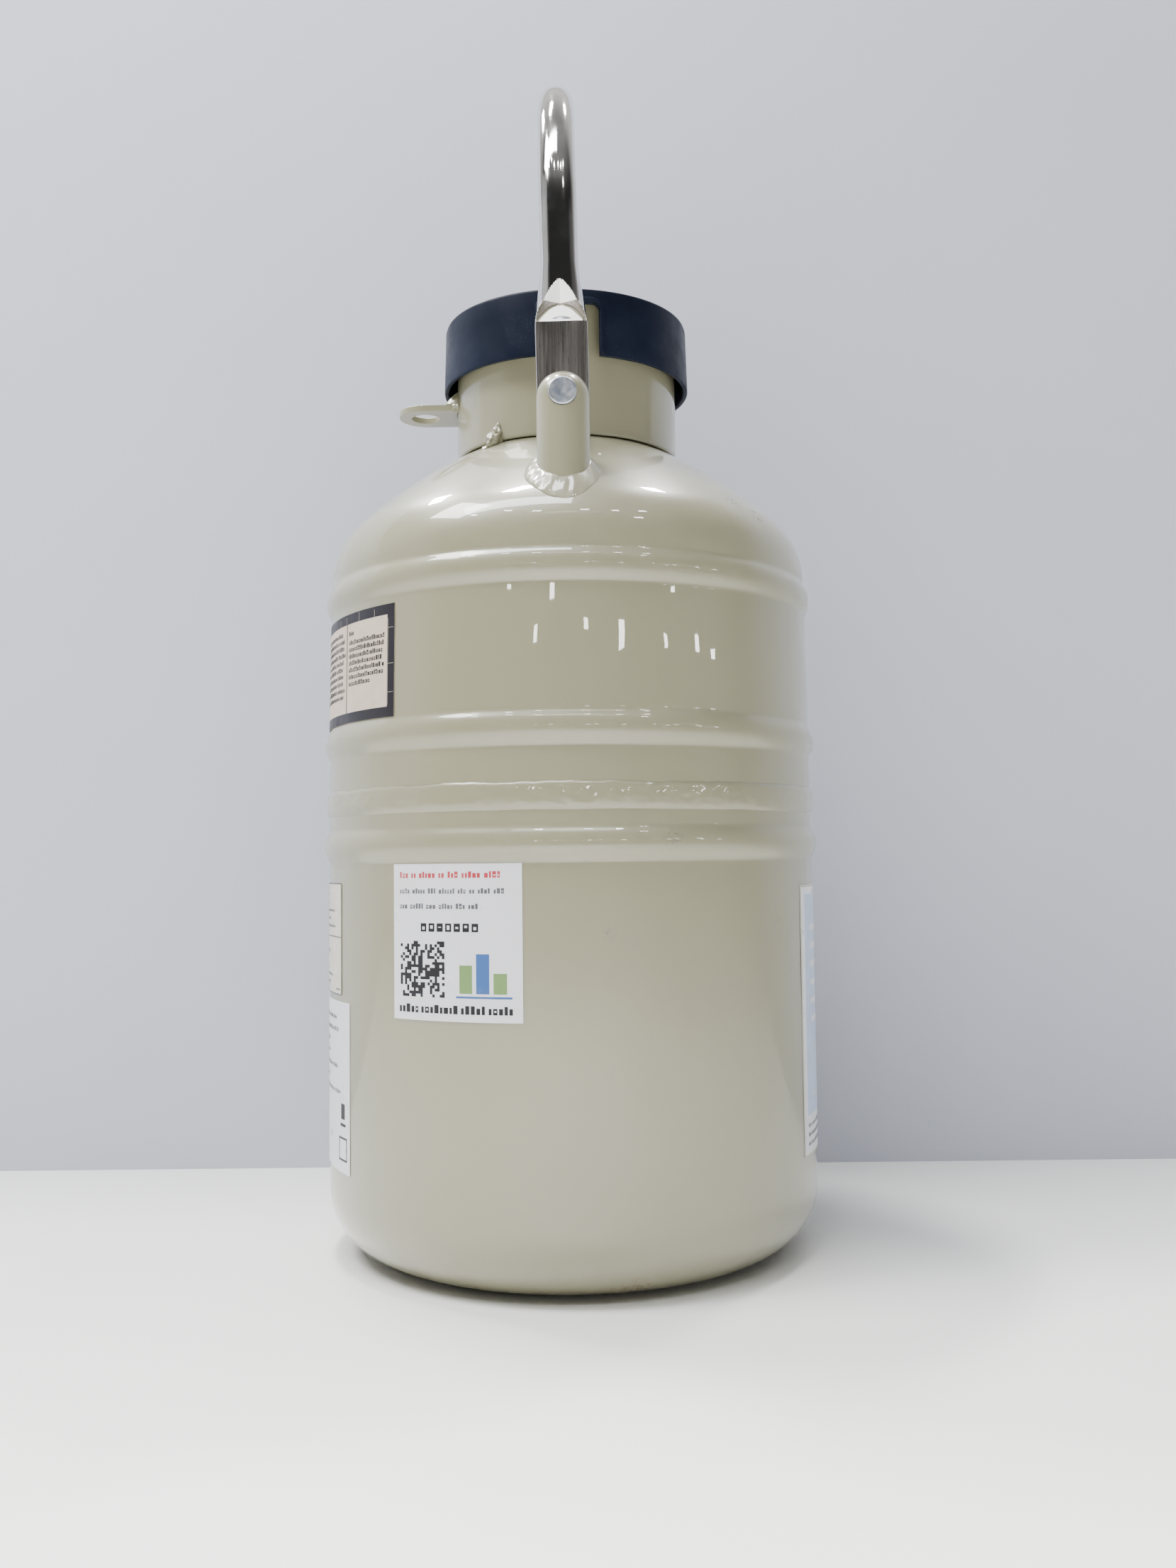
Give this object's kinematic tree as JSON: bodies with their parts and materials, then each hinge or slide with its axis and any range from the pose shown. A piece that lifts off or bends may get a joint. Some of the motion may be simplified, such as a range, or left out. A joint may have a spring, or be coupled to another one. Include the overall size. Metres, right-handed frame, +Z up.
{
  "type": "liquid nitrogen dewar",
  "caption": "Cylindrical cream-painted vacuum flask with rolled ribs, domed shoulder, dark lift-off lid on a collar, and a swinging tubular bail handle, for holding liquid nitrogen.",
  "frame": {"origin": "centre of the base on the floor", "axes": "+Z up along the vessel's centre line; the bail pivots about an axis along Y, and the locking eye on the collar points to -X"},
  "size_m": [0.2256, 0.2256, 0.5306],
  "materials": {
    "cream_paint": "gloss",
    "bare_aluminium": "satin",
    "glass_fibre_tube": "satin",
    "foil_blanket": "satin",
    "getter": "matte",
    "black_rubber": "matte",
    "navy_plastic": "satin",
    "zinc_steel": "satin",
    "polished_tube": "polished",
    "plug_foam": "matte",
    "black_plastic": "matte",
    "white_nylon": "satin",
    "label_film": "satin"
  },
  "bodies": {
    "vessel": {"outer_shell_upper": "cream_paint", "outer_shell_lower": "cream_paint", "neck_sleeve": "bare_aluminium", "girth_weld": "cream_paint", "girth_backing_ring": "bare_aluminium", "inner_vessel_upper": "bare_aluminium", "inner_vessel_lower": "bare_aluminium", "inner_girth_weld": "bare_aluminium", "neck_tube": "glass_fibre_tube", "neck_foot_ring": "bare_aluminium", "neck_mouth_ring": "bare_aluminium", "superinsulation_blanket": "foil_blanket", "getter_cup": "bare_aluminium", "getter_pellets": "getter", "vacuum_port_tube": "bare_aluminium", "vacuum_plug": "bare_aluminium", "vacuum_plug_oring": "black_rubber", "neck_collar": "cream_paint", "collar_tack_welds": "cream_paint", "locking_eye_tab": "cream_paint", "tab_weld": "cream_paint", "lug_front": "cream_paint", "lug_rear": "cream_paint", "lug_welds": "cream_paint", "pivot_rivets": "zinc_steel", "rivet_washers": "zinc_steel", "asset_sticker": "label_film", "framed_label": "label_film", "side_box_label": "label_film", "side_strip_label": "label_film", "right_label": "label_film"},
    "bail": {"handle": "polished_tube"},
    "lid": {"lid_cap": "navy_plastic", "neck_plug": "plug_foam", "plug_end_disc": "black_plastic", "plug_bolt": "white_nylon"},
    "port_cap": {"vacuum_port_cap": "navy_plastic"}
  },
  "joints": [
    {"name": "bail_swing", "type": "hinge", "parent": "vessel", "child": "bail", "pos_m": [0, 0, 0.3618], "axis": [0, 1, 0], "range_deg": [-109, 111]},
    {"name": "lid_lift", "type": "slide", "parent": "vessel", "child": "lid", "axis": [0, 0, 1], "range_m": [0, 0.06]},
    {"name": "port_cap_pull", "type": "slide", "parent": "vessel", "child": "port_cap", "axis": [0.3958, 0.3958, 0.8286], "range_m": [0, 0.016]}
  ]
}
